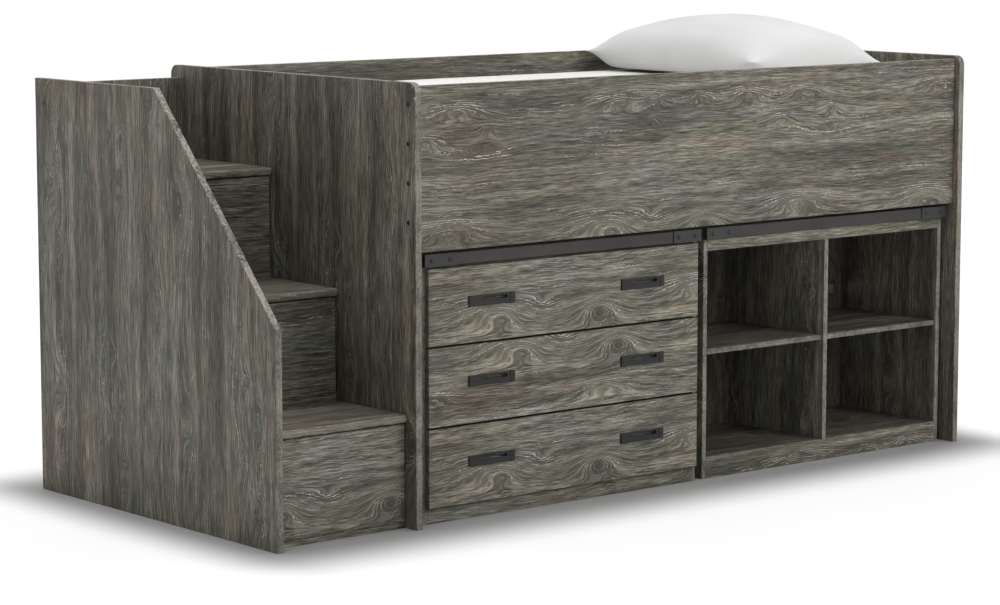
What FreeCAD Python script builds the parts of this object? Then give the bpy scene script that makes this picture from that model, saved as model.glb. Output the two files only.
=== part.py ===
import FreeCAD, Part
import os

# Low loft bed on two full-height end panels, with a three-step stair on its left,
# and a three-drawer chest and a four-cubby bookcase standing under its guard.
# Millimetres. +X runs along the bed to the head end, +Y to the rear, +Z up.
# The origin is on the floor, under the middle of the plan's bounding rectangle.

os.makedirs("parts", exist_ok=True)

# ---- Boards and general clearances ----
panel = 20.0                    # bed ends, guards, stair side and treads
board = 15.0                    # chest, bookcase and inner stair boards, drawer fronts
back_sheet = 5.0                # hardboard backs
edge_ease = 1.2                 # small bevel along a banded board's edges
soft_gap = 0.3                  # soft parts above what carries them

# ---- Bed ----
bed_length = 2010.0             # over both end panels
bed_depth = 1080.0              # width of the end panels
bed_height = 1125.0             # floor to the top of the end panels
end_corner_radius = 25.0        # top corners of the end panels
guard_height = 417.0
guard_drop = 9.0                # guard top below the top of the end panels
guard_setback = 18.5            # guard face behind the end panel's edge

# ---- Slats, mattress and pillow ----
slat_count = 13
slat_width = 70.0
slat_thickness = 18.0
slat_end_gap = 2.0              # slat end to guard
slat_end_margin = 60.0          # first slat to end panel
slat_edge_ease = 2.4
cleat_width = 25.0
cleat_height = 40.0
mattress_end_gap = 32.5         # mattress to each end panel
mattress_side_gap = 6.5         # mattress to each guard
mattress_thickness = 200.0
mattress_corner_radius = 60.0
mattress_rim_bevel = 14.0
mattress_drop = 58.0            # mattress top below the guard's top
pillow_length = 760.0           # across the bed
pillow_width = 510.0            # along the bed
pillow_thickness = 174.0
pillow_seam_rise = 62.0         # seam above the mattress
pillow_foot_inset = 70.0        # flat underside inside the seam
pillow_head_gap = 23.0          # pillow to the right end panel
pillow_rear_gap = 19.5          # pillow to the rear guard

# ---- Stair ----
stair_width = 430.0             # outer face of the stair side to the bed's end panel
stair_side_height = 1105.0
slope_top_run = 515.0           # where the slope meets the top edge, from the front
slope_foot_height = 548.0       # where the slope meets the front edge
step_count = 3
step_rise = 292.0
step_going = 287.0
first_nose_setback = 28.0       # lowest tread's nose behind the bed's front edge
nose_overhang = 13.0            # nose ahead of the step drawer's face
tread_nose_radius = 8.0
tread_corner_radius = 12.0
kick_setback = 6.0              # kick strip behind the step drawer's face
stair_back_inset = 35.0         # stair back ahead of the bed's rear edge
stair_back_drop = 13.0          # stair back's top below the stair side's top

# ---- Step drawers ----
step_front_side_gap = 3.0       # front to the outer stair side
step_front_bed_gap = 5.0        # front to the bed's end panel
step_front_top_gap = 4.0
step_front_bottom_gap = 16.0    # finger gap over the tread or floor
step_box_rear_gap = 20.0        # top step's box to the stair's back
step_box_height = 180.0
step_box_rise = 25.0            # box bottom above the front's bottom
kick_front_gap = 1.5            # kick strip's top below the front's bottom

# ---- Chest and bookcase ----
unit_depth = 382.0              # side panels, without the back sheet
unit_top_gap = 8.0              # top board below the guard
unit_setback = 44.0             # carcass front behind the end panels' front edges
chest_left_gap = 34.0           # bed's left end panel to the chest
unit_spacing = 26.0             # chest to bookcase
bookcase_right_gap = 18.0       # bookcase to the right end panel
plinth_height = 57.0
top_rail_height = 49.0          # below the top board
drawer_front_bottom = 42.0      # lowest drawer front above the floor
top_front_less = 5.0            # top front lower than the two below it
drawer_front_gap = 4.5          # between drawer fronts
drawer_front_top_gap = 5.0      # top front below the metal bar
drawer_front_side_gap = 9.0     # carcass side left uncovered beside a front
front_stand_off = 1.0           # back of a drawer front to the carcass
box_rear_gap = 33.0             # box to the back sheet
box_rise = 25.0                 # box bottom above its front's bottom
box_drop = 35.0                 # box top below its front's top
shelf_height = 342.0            # underside of the shelves above the floor
shelf_front_inset = 6.0         # shelf edge behind the carcass front
shelf_side_gap = 0.5
shelf_pin_radius = 2.5
shelf_pin_length = 16.0
shelf_pin_inset = 53.0          # pin line behind the carcass front
shelf_pin_rear_inset = 55.0
shelf_hole_pitch = 64.0
pin_clearance = 0.1
cable_hole_width = 60.0
cable_hole_height = 29.0
cable_hole_radius = 5.0
cable_hole_side_inset = 29.0    # hole edge to the right side's inner face
cable_hole_rise = 58.0          # hole's lower edge above the shelf's underside

# ---- Drawer boxes and their slides ----
box_board = 12.0
box_bottom = 5.0
box_bottom_rise = 8.0           # bottom sheet above the box's lower edge
groove_depth = 5.0
slide_space = 12.5              # box side to carcass, each side
slide_height = 36.0
slide_wall = 1.5
slide_play = 0.3                # moving member inside the fixed one
slide_overlap_gap = 2.0         # lip of each member short of the other's web
slide_rise = 45.0               # slide's middle above the box's lower edge
slide_end_gap = 10.0            # slide shorter than its box

# ---- Metal bars and pulls ----
bar_height = 32.0
bar_depth = 13.0
bar_overhang = 2.0              # end plate's return past the carcass side
bar_plate_length = 100.0
bar_plate_thickness = 2.5
pull_length = 152.0
pull_height = 28.0
pull_depth = 5.0
pull_pad = 16.0                 # raised pad at each end
pull_step = 1.0                 # pads stand proud of the middle
pull_offset = 260.0             # pull centre from the front's middle
pull_rise = 7.5                 # pull centre above the front's middle
pull_bevel = 0.8
slot_length = 100.0
slot_height = 9.0
slot_top_rim = 4.5              # metal above the slot
slot_corner_radius = 2.0
pocket_margin = 3.0             # finger pocket past the slot's ends and top
pocket_height = 21.0
pocket_depth = 11.0

# ---- Derived places ----
overall_length = bed_length + stair_width
stair_left = -overall_length / 2
bed_left = stair_left + stair_width
bed_right = bed_left + bed_length
front = -bed_depth / 2
rear = bed_depth / 2
bay_left = bed_left + panel
bay_right = bed_right - panel
guard_top = bed_height - guard_drop
guard_bottom = guard_top - guard_height
guard_front_inner = front + guard_setback + panel
guard_rear_inner = rear - guard_setback - panel
mattress_top = guard_top - mattress_drop
slat_top = mattress_top - mattress_thickness - soft_gap
slat_bottom = slat_top - slat_thickness

stair_inner = stair_left + panel
stair_back_rear = rear - stair_back_inset
stair_back_front = stair_back_rear - board
kick_thickness = board + front_stand_off - kick_setback

unit_front = front + unit_setback
unit_rear = unit_front + unit_depth
unit_height = guard_bottom - unit_top_gap
unit_gaps = chest_left_gap + unit_spacing + bookcase_right_gap
unit_width = (bay_right - bay_left - unit_gaps) / 2
chest_left = bay_left + chest_left_gap
bookcase_left = chest_left + unit_width + unit_spacing
deck_bottom = plinth_height - board
top_bottom = unit_height - board
rail_bottom = top_bottom - top_rail_height
fronts_top = unit_height - bar_height - drawer_front_top_gap
fronts_height = fronts_top - drawer_front_bottom - 2 * drawer_front_gap
lower_front_height = (fronts_height + top_front_less) / 3
top_front_height = lower_front_height - top_front_less
box_height = top_front_height - box_rise - box_drop
box_depth = unit_depth + front_stand_off - box_rear_gap


def vec(x, y, z):
    return FreeCAD.Vector(x, y, z)


def block(x0, x1, y0, y1, z0, z1):
    """A plain box between two corners."""
    return Part.makeBox(x1 - x0, y1 - y0, z1 - z0, vec(x0, y0, z0))


def runs_along(edge, axis):
    """True for a straight edge that is parallel to one axis."""
    if not isinstance(edge.Curve, Part.Line):
        return False
    span = edge.Vertexes[-1].Point - edge.Vertexes[0].Point
    return abs(abs(span[axis]) - span.Length) < 1e-6


def ease_long_edges(shape, axis, bevel=edge_ease):
    """Take the sharpness off the straight edges that run along one axis."""
    return shape.makeChamfer(bevel, [edge for edge in shape.Edges if runs_along(edge, axis)])


def ease_faces(shape, axis):
    """Take the sharpness off the outline of a board's two large faces, square to the axis."""
    box = shape.BoundBox
    ends = ((box.XMin, box.XMax), (box.YMin, box.YMax), (box.ZMin, box.ZMax))[axis]
    picked = []
    for edge in shape.Edges:
        box = edge.BoundBox
        low, high = ((box.XMin, box.XMax), (box.YMin, box.YMax), (box.ZMin, box.ZMax))[axis]
        flat = high - low < 1e-4
        if flat and min(abs(low - ends[0]), abs(low - ends[1])) < 1e-4:
            picked.append(edge)
    return shape.makeChamfer(edge_ease, picked)


def side_profile(points, x0, x1):
    """A board whose outline is given in the YZ plane."""
    corners = [vec(x0, y, z) for y, z in points]
    outline = Part.makePolygon(corners + corners[:1])
    return Part.Face(outline).extrude(vec(x1 - x0, 0, 0))


def cylinder_x(radius, x0, x1, y, z):
    return Part.makeCylinder(radius, x1 - x0, vec(x0, y, z), vec(1, 0, 0))


def save(name, solids):
    """Write one node: a single solid, or several separate ones as a group."""
    if not isinstance(solids, (list, tuple)):
        solids = [solids]
    shape = solids[0] if len(solids) == 1 else Part.makeCompound(solids)
    shape.exportStep("parts/" + name + ".step")


# ---------------------------------------------------------------- bed
def end_panel(left):
    """A bed end with rounded top corners."""
    plate = block(left, left + panel, front, rear, 0, bed_height)
    top_corners = [edge for edge in plate.Edges
                   if runs_along(edge, 0) and edge.Vertexes[0].Z > bed_height / 2]
    return ease_faces(plate.makeFillet(end_corner_radius, top_corners), 0)


def guard(y0):
    """A deep guard board between the end panels."""
    plank = block(bay_left, bay_right, y0, y0 + panel, guard_bottom, guard_top)
    return ease_long_edges(plank, 0)


def slat_cleats():
    """A ledger strip on the inner face of each guard."""
    strips = []
    for y0 in (guard_front_inner, guard_rear_inner - cleat_width):
        strips.append(block(bay_left, bay_right, y0, y0 + cleat_width,
                            slat_bottom - cleat_height, slat_bottom))
    return strips


def slats():
    """Slats across the bed, evenly spaced, lying on the ledger strips."""
    first = bay_left + slat_end_margin
    last = bay_right - slat_end_margin - slat_width
    step = (last - first) / (slat_count - 1)
    rows = []
    for index in range(slat_count):
        x0 = first + index * step
        slat = block(x0, x0 + slat_width, guard_front_inner + slat_end_gap,
                     guard_rear_inner - slat_end_gap, slat_bottom, slat_top)
        rows.append(ease_long_edges(slat, 1, slat_edge_ease))
    return rows


def mattress():
    """Plain mattress block with rounded corners and bevelled rims, filling the bay."""
    pad = block(bay_left + mattress_end_gap, bay_right - mattress_end_gap,
                guard_front_inner + mattress_side_gap, guard_rear_inner - mattress_side_gap,
                mattress_top - mattress_thickness, mattress_top)
    pad = pad.makeFillet(mattress_corner_radius, [e for e in pad.Edges if runs_along(e, 2)])
    rims = [e for e in pad.Edges if e.BoundBox.ZMax - e.BoundBox.ZMin < 1e-4]
    return pad.makeChamfer(mattress_rim_bevel, rims)


def crowned_bar(half_width, place, run):
    """A bar with a plump cushion's section: flat below, bevelled to its seam, crowned above.

    place(offset, height) gives a point of the section, and run is the bar's length as a vector."""
    foot = half_width - pillow_foot_inset
    corners = [place(-half_width, pillow_seam_rise), place(-foot, 0), place(foot, 0),
               place(half_width, pillow_seam_rise)]
    crown = Part.Arc(corners[3], place(0, pillow_thickness), corners[0]).toShape()
    return Part.Face(Part.Wire(Part.makePolygon(corners).Edges + [crown])).extrude(run)


def pillow():
    """Plain pillow: where a crowned bar across the bed and one along it cross."""
    x1 = bay_right - pillow_head_gap
    x0 = x1 - pillow_width
    y1 = guard_rear_inner - pillow_rear_gap
    y0 = y1 - pillow_length
    z0 = mattress_top + soft_gap
    across = crowned_bar(pillow_width / 2,
                         lambda offset, height: vec((x0 + x1) / 2 + offset, y0, z0 + height),
                         vec(0, pillow_length, 0))
    along = crowned_bar(pillow_length / 2,
                        lambda offset, height: vec(x0, (y0 + y1) / 2 + offset, z0 + height),
                        vec(pillow_width, 0, 0))
    return across.common(along)


# ---------------------------------------------------------------- stair
def nose(step):
    return front + first_nose_setback + step * step_going


def tread_top(step):
    """Top of a step's tread; step -1 is the floor."""
    return (step + 1) * step_rise


def face(step):
    """Front of a step drawer's face."""
    return nose(step) + nose_overhang


def step_box_depth():
    """All three step boxes are alike, and the top step has the least room behind its front."""
    return stair_back_front - step_box_rear_gap - face(step_count - 1) - board


def kick_face(step):
    return face(step) + kick_setback


def tread_rear(step):
    """Each tread runs back to the next step's kick strip, the last to the stair's back."""
    return kick_face(step + 1) if step + 1 < step_count else stair_back_front


def stair_side():
    """Outer side of the stair, with its sloping front edge."""
    outline = [(front, 0), (rear, 0), (rear, stair_side_height),
               (front + slope_top_run, stair_side_height), (front, slope_foot_height)]
    return ease_faces(side_profile(outline, stair_left, stair_inner), 0)


def stair_string():
    """Stepped inner side, under the treads and against the bed's end panel."""
    outline = [(stair_back_front, 0)]
    for step in range(step_count):
        edge = kick_face(step) + kick_thickness
        outline.append((edge, tread_top(step - 1) - (panel if step else 0)))
        outline.append((edge, tread_top(step) - panel))
    outline.append((stair_back_front, tread_top(step_count - 1) - panel))
    return side_profile(outline, bed_left - board, bed_left)


def stair_back():
    """Back board of the stair, which rises behind the top tread as a guard."""
    plate = block(stair_inner, bed_left, stair_back_front, stair_back_rear,
                  0, stair_side_height - stair_back_drop)
    return ease_long_edges(plate, 0)


def tread(step):
    """A tread with a rounded nose and a rounded free corner beside the bed."""
    plank = block(stair_inner, bed_left, nose(step), tread_rear(step),
                  tread_top(step) - panel, tread_top(step))
    corner = [e for e in plank.Edges if runs_along(e, 2)
              and e.Vertexes[0].X > bed_left - panel and e.Vertexes[0].Y < nose(step) + panel]
    plank = plank.makeFillet(tread_corner_radius, corner)
    rims = []
    for edge in plank.Edges:
        box = edge.BoundBox
        level = box.ZMax - box.ZMin < 1e-4
        if level and box.YMax < nose(step) + tread_corner_radius + 1e-3:
            rims.append(edge)
    return plank.makeFillet(tread_nose_radius, rims)


def kick_strips():
    """A strip under each step drawer, behind the tread or on the floor."""
    strips = []
    for step in range(step_count):
        base = tread_top(step - 1) - panel if step else 0
        top = tread_top(step - 1) + step_front_bottom_gap - kick_front_gap
        strips.append(block(stair_inner, bed_left, kick_face(step),
                            kick_face(step) + kick_thickness, base, top))
    return strips


# ---------------------------------------------------------------- drawers
def drawer_box(x0, x1, y0, depth, z0, height):
    """Four boards and a bottom sheet that sits in a groove in each of them."""
    y1 = y0 + depth
    z1 = z0 + height
    inner_left = x0 + box_board
    inner_right = x1 - box_board
    sheet = block(inner_left - groove_depth, inner_right + groove_depth,
                  y0 + box_board - groove_depth, y1 - box_board + groove_depth,
                  z0 + box_bottom_rise, z0 + box_bottom_rise + box_bottom)
    boards = [
        block(x0, inner_left, y0, y1, z0, z1),
        block(inner_right, x1, y0, y1, z0, z1),
        block(inner_left, inner_right, y0, y0 + box_board, z0, z1),
        block(inner_left, inner_right, y1 - box_board, y1, z0, z1),
    ]
    return [each.cut(sheet) for each in boards] + [sheet]


def channel(x_web, x_lip, y0, y1, z0, z1):
    """A folded steel channel along Y: its web at x_web, its lips reaching to x_lip."""
    x_low, x_high = sorted((x_web, x_lip))
    outer = block(x_low, x_high, y0, y1, z0, z1)
    if x_web < x_lip:
        hollow = block(x_web + slide_wall, x_lip + slide_wall, y0, y1, z0 + slide_wall, z1 - slide_wall)
    else:
        hollow = block(x_lip - slide_wall, x_web - slide_wall, y0, y1, z0 + slide_wall, z1 - slide_wall)
    return outer.cut(hollow)


def slide_pair(x_carcass, x_box, y0, y1, box_base):
    """Fixed channel on the carcass, and the moving one on the box, nested in it."""
    towards = 1 if x_box > x_carcass else -1
    z0 = box_base + slide_rise - slide_height / 2
    z1 = z0 + slide_height
    fixed = channel(x_carcass, x_box - towards * slide_overlap_gap, y0, y1, z0, z1)
    inset = slide_wall + slide_play
    moving = channel(x_box, x_carcass + towards * slide_overlap_gap, y0, y1, z0 + inset, z1 - inset)
    return fixed, moving


def step_drawer(step):
    """Front, box and slides of one step drawer: (front, box, moving slides, fixed slides)."""
    base = tread_top(step - 1) + step_front_bottom_gap
    top = tread_top(step) - panel - step_front_top_gap
    front_board = block(stair_inner + step_front_side_gap, bed_left - step_front_bed_gap,
                        face(step), face(step) + board, base, top)
    carcass_left = stair_inner
    carcass_right = bed_left - board
    x0 = carcass_left + slide_space
    x1 = carcass_right - slide_space
    y0 = face(step) + board
    z0 = base + step_box_rise
    depth = step_box_depth()
    box = drawer_box(x0, x1, y0, depth, z0, step_box_height)
    slide_front = kick_face(step) + kick_thickness
    slide_rear = y0 + depth - slide_end_gap
    left = slide_pair(carcass_left, x0, slide_front, slide_rear, z0)
    right = slide_pair(carcass_right, x1, slide_front, slide_rear, z0)
    return ease_faces(front_board, 1), box, [left[1], right[1]], [left[0], right[0]]


def front_heights():
    """Bottom and top of each chest drawer front, lowest first."""
    spans = []
    z0 = drawer_front_bottom
    for height in (lower_front_height, lower_front_height, top_front_height):
        spans.append((z0, z0 + height))
        z0 += height + drawer_front_gap
    return spans


def pull_places(z0, z1):
    """Centre of both pulls on a chest drawer front."""
    middle = chest_left + unit_width / 2
    z = (z0 + z1) / 2 + pull_rise
    return [(middle - pull_offset, z), (middle + pull_offset, z)]


def drawer_face_y():
    return unit_front - front_stand_off - board


def slot_span(z):
    """Lower and upper edge of a pull's finger slot."""
    top = z + pull_height / 2 - slot_top_rim
    return top - slot_height, top


def pull(x, z):
    """Flat metal pull with a raised pad at each end and a finger slot under its top rim."""
    y1 = drawer_face_y()
    y0 = y1 - pull_depth
    half = pull_length / 2
    plate = block(x - half, x + half, y0, y1, z - pull_height / 2, z + pull_height / 2)
    plate = plate.makeChamfer(pull_bevel, [e for e in plate.Edges if e.BoundBox.YMax < y0 + 1e-3])
    middle = half - pull_pad
    plate = plate.cut(block(x - middle, x + middle, y0 - 1, y0 + pull_step,
                            z - pull_height, z + pull_height))
    low, high = slot_span(z)
    slot = block(x - slot_length / 2, x + slot_length / 2, y0, y1, low, high)
    slot = slot.makeFillet(slot_corner_radius, [e for e in slot.Edges if runs_along(e, 1)])
    return plate.cut(slot)


def chest_drawer_front(z0, z1):
    """Drawer front with a routed finger pocket behind each pull."""
    x0 = chest_left + drawer_front_side_gap
    x1 = chest_left + unit_width - drawer_front_side_gap
    y0 = drawer_face_y()
    plate = ease_faces(block(x0, x1, y0, y0 + board, z0, z1), 1)
    for x, z in pull_places(z0, z1):
        top = slot_span(z)[1] + pocket_margin
        half = slot_length / 2 + pocket_margin
        pocket = block(x - half, x + half, y0, y0 + pocket_depth, top - pocket_height, top)
        plate = plate.cut(pocket)
    return plate


def chest_drawer(z0):
    """Box and slides of one chest drawer, from its front's lower edge."""
    carcass_left = chest_left + board
    carcass_right = chest_left + unit_width - board
    x0 = carcass_left + slide_space
    x1 = carcass_right - slide_space
    y0 = drawer_face_y() + board
    base = z0 + box_rise
    box = drawer_box(x0, x1, y0, box_depth, base, box_height)
    slide_rear = y0 + box_depth - slide_end_gap
    left = slide_pair(carcass_left, x0, unit_front, slide_rear, base)
    right = slide_pair(carcass_right, x1, unit_front, slide_rear, base)
    return box, [left[1], right[1]], [left[0], right[0]]


# ---------------------------------------------------------------- chest and bookcase
def carcass(left):
    """The boards that the chest and the bookcase share, by name."""
    right = left + unit_width
    inner_left = left + board
    inner_right = right - board
    side = (unit_front, unit_rear, 0, top_bottom)
    return {
        "side_left": ease_long_edges(block(left, inner_left, *side), 2),
        "side_right": ease_long_edges(block(inner_right, right, *side), 2),
        "top": block(left, right, unit_front, unit_rear, top_bottom, unit_height),
        "deck": block(inner_left, inner_right, unit_front + board, unit_rear,
                      deck_bottom, plinth_height),
        "plinth": ease_long_edges(block(inner_left, inner_right, unit_front, unit_front + board,
                                        0, plinth_height), 0),
        "top_rail": ease_long_edges(block(inner_left, inner_right, unit_front,
                                          unit_front + board, rail_bottom, top_bottom), 0),
        "back": block(left, right, unit_rear, unit_rear + back_sheet, deck_bottom, unit_height),
    }


def divider_span():
    middle = bookcase_left + unit_width / 2
    return middle - board / 2, middle + board / 2


def shelf_spans():
    """Clear space of each column of cubbies."""
    left, right = divider_span()
    return [(bookcase_left + board, left), (right, bookcase_left + unit_width - board)]


def pin_rows():
    return unit_front + shelf_pin_inset, unit_rear - shelf_pin_rear_inset


def pin_height():
    return shelf_height - shelf_pin_radius


def bore_pin_holes(plate, x_low, x_high):
    """Rows of blind shelf-pin holes in a board's face between x_low and x_high."""
    for y in pin_rows():
        for row in (-1, 0, 1):
            z = pin_height() + row * shelf_hole_pitch
            plate = plate.cut(cylinder_x(shelf_pin_radius + pin_clearance, x_low, x_high, y, z))
    return plate


def shelf_pins():
    """Four pins under each shelf, half in the board and half under the shelf."""
    pins = []
    half = shelf_pin_length / 2
    for left, right in shelf_spans():
        for x0, x1 in ((left - half, left + half), (right - half, right + half)):
            for y in pin_rows():
                reach = min(board / 2 - 1, half)
                low, high = (left - reach, x1) if x0 < left else (x0, right + reach)
                pins.append(cylinder_x(shelf_pin_radius, low, high, y, pin_height()))
    return pins


def bookcase_sides(boards):
    """Bore the shelf-pin rows in the bookcase's sides and divider."""
    reach = min(board / 2 - 1, shelf_pin_length / 2)
    (left0, left1), (right0, right1) = shelf_spans()
    boards["side_left"] = bore_pin_holes(boards["side_left"], left0 - reach, left0)
    boards["side_right"] = bore_pin_holes(boards["side_right"], right1, right1 + reach)
    divider = block(left1, right0, unit_front, unit_rear, plinth_height, top_bottom)
    divider = divider.cut(block(left1, right0, unit_front, unit_front + board,
                                rail_bottom, top_bottom))
    divider = bore_pin_holes(divider, left1, left1 + reach)
    boards["divider"] = bore_pin_holes(divider, right0 - reach, right0)


def shelf(left, right):
    plank = block(left + shelf_side_gap, right - shelf_side_gap,
                  unit_front + shelf_front_inset, unit_rear, shelf_height, shelf_height + board)
    return ease_long_edges(plank, 0)


def cable_hole(sheet):
    """Rounded hole for a cable in the back of the upper right cubby."""
    x1 = bookcase_left + unit_width - board - cable_hole_side_inset
    x0 = x1 - cable_hole_width
    z0 = shelf_height + cable_hole_rise
    hole = block(x0, x1, unit_rear, unit_rear + back_sheet, z0, z0 + cable_hole_height)
    hole = hole.makeFillet(cable_hole_radius, [e for e in hole.Edges if runs_along(e, 1)])
    return sheet.cut(hole)


# ---------------------------------------------------------------- metal bars
def bar_base():
    return unit_height - bar_height


def metal_bar(left):
    """Flat bar across the front of a unit."""
    bar = block(left, left + unit_width, unit_front - bar_depth, unit_front,
                bar_base(), unit_height)
    return ease_long_edges(bar, 0)


def bar_end_plates(left):
    """Two plates that wrap the ends of a unit's bar."""
    y0 = unit_front - bar_depth - bar_plate_thickness
    outer_left = left - bar_overhang
    outer_right = left + unit_width + bar_overhang
    plates = []
    for x0, x1, lip0, lip1 in (
        (outer_left, outer_left + bar_plate_length, outer_left, left),
        (outer_right - bar_plate_length, outer_right, left + unit_width, outer_right),
    ):
        plate = block(x0, x1, y0, y0 + bar_plate_thickness, bar_base(), unit_height)
        lip = block(lip0, lip1, y0, unit_front, bar_base(), unit_height)
        plates.append(plate.fuse(lip).removeSplitter())
    return plates


# ---------------------------------------------------------------- write the nodes
def write_bed():
    save("bed_end_left", end_panel(bed_left))
    save("bed_end_right", end_panel(bay_right))
    save("guard_front", guard(front + guard_setback))
    save("guard_rear", guard(guard_rear_inner))
    save("slat_cleats", slat_cleats())
    save("bed_slats", slats())
    save("mattress", mattress())
    save("pillow", pillow())


def write_stair():
    save("stair_side_outer", stair_side())
    save("stair_string_inner", stair_string())
    save("stair_back", stair_back())
    save("stair_kick_strips", kick_strips())
    runners = []
    for step in range(step_count):
        label = str(step + 1)
        save("stair_tread_" + label, tread(step))
        front_board, box, moving, fixed = step_drawer(step)
        save("step_drawer_front_" + label, front_board)
        save("step_drawer_box_" + label, box)
        save("step_drawer_slides_" + label, moving)
        runners += fixed
    save("stair_runners", runners)


def write_chest():
    for name, shape in carcass(chest_left).items():
        save("chest_" + name, shape)
    runners = []
    for label, (z0, z1) in zip(("bottom", "middle", "top"), front_heights()):
        save("chest_drawer_front_" + label, chest_drawer_front(z0, z1))
        box, moving, fixed = chest_drawer(z0)
        save("chest_drawer_box_" + label, box)
        save("chest_drawer_slides_" + label, moving)
        save("chest_drawer_pulls_" + label, [pull(x, z) for x, z in pull_places(z0, z1)])
        runners += fixed
    save("chest_runners", runners)


def write_bookcase():
    boards = carcass(bookcase_left)
    bookcase_sides(boards)
    boards["back"] = cable_hole(boards["back"])
    for name, shape in boards.items():
        save("bookcase_" + name, shape)
    for name, (left, right) in zip(("left", "right"), shelf_spans()):
        save("bookcase_shelf_" + name, shelf(left, right))
    save("bookcase_shelf_pins", shelf_pins())


def write_bars():
    save("metal_bars", [metal_bar(chest_left), metal_bar(bookcase_left)])
    save("bar_end_plates", bar_end_plates(chest_left) + bar_end_plates(bookcase_left))


write_bed()
write_stair()
write_chest()
write_bookcase()
write_bars()
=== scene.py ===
import math

import bmesh
import bpy
import numpy as np
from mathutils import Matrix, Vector, noise


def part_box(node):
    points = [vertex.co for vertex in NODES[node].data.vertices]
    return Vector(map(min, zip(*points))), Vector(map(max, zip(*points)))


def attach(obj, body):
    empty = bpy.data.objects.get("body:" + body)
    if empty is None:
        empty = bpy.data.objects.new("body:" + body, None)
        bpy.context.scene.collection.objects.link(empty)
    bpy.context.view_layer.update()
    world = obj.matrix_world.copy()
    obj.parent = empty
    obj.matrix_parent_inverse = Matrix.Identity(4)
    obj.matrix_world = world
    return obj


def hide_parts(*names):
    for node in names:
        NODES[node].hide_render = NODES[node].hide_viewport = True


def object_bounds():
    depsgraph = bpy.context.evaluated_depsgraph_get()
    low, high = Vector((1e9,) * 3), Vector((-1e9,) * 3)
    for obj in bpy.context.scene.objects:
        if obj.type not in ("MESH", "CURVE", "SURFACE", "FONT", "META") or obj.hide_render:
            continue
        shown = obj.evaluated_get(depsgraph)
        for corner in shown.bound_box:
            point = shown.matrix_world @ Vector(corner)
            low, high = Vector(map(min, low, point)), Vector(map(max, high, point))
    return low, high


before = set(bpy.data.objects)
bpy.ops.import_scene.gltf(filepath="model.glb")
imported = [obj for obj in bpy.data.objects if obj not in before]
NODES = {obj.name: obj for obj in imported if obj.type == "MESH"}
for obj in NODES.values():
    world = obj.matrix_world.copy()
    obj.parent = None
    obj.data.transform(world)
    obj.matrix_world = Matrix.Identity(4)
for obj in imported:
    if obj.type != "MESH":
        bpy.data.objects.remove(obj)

CAD_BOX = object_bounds()
X, Y, Z = 0, 1, 2

# ---- camera, floor and light ----

CAMERA_PLACE = Vector((-5.50933, -6.54891, 1.59409))
CAMERA_YAW = -0.69318  # radians, from looking along +Y
CAMERA_DIP = 0.13209  # radians below the horizon
CAMERA_LENS = 111.452  # mm
CAMERA_SENSOR = 36.0  # mm across
CAMERA_REACH = 100.0  # metres

FLOOR_RADIUS = 16.0
FLOOR_RINGS = 12
FLOOR_SEGMENTS = 96
STUDIO_FILL = 0.92  # brightness of the white room round the object
FLOOR_GLOW = 0.69  # light from the sweep itself, clear of the object
PAINTED_SHADOW_REACH = (0.24, 0.32)  # metres beside and before the object's box where the glow is full; nearer it fades out, a painted shadow round the object
FLOOR_DARK = (0.39, 0.39, 0.395)
FLOOR_PALE = (0.43, 0.43, 0.43)
LAMPS = (  # name, place, what it points at, size and power
    ("key", (2.2, -6.0, 3.4), (0.1, -0.3, 0.5), 3.0, 205.0),
    ("top", (-0.8, 0.2, 5.0), (-0.1, 0.0, 0.6), 2.6, 62.0),
)


def put_object(name, data):
    """A new object in the scene."""
    made = bpy.data.objects.new(name, data)
    bpy.context.scene.collection.objects.link(made)
    return made


def make_camera():
    data = bpy.data.cameras.new("camera")
    data.lens = CAMERA_LENS
    data.sensor_width = CAMERA_SENSOR
    data.clip_end = CAMERA_REACH
    camera = put_object("camera", data)
    camera.location = CAMERA_PLACE
    camera.rotation_euler = (math.pi / 2 - CAMERA_DIP, 0.0, CAMERA_YAW)
    bpy.context.scene.camera = camera


def make_floor(material):
    """A round white sweep under the object."""
    bm = bmesh.new()
    rings = []
    turn = [2 * math.pi * k / FLOOR_SEGMENTS for k in range(FLOOR_SEGMENTS)]
    for ring in range(1, FLOOR_RINGS + 1):
        radius = FLOOR_RADIUS * (ring / FLOOR_RINGS) ** 2
        rings.append([bm.verts.new((radius * math.cos(a), radius * math.sin(a), 0.0)) for a in turn])
    bm.faces.new(rings[0])
    for inner, outer in zip(rings, rings[1:]):
        for k in range(FLOOR_SEGMENTS):
            after = (k + 1) % FLOOR_SEGMENTS
            bm.faces.new((inner[k], outer[k], outer[after], inner[after]))
    floor = object_from(bm, "floor", material)
    return floor


def make_area_light(name, place, target, size, power):
    data = bpy.data.lights.new(name, "AREA")
    data.shape = "DISK"
    data.size = size
    data.energy = power
    light = put_object(name, data)
    light.location = place
    light.rotation_mode = "QUATERNION"
    light.rotation_quaternion = (Vector(target) - Vector(place)).to_track_quat("-Z", "Y")
    return light


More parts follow.
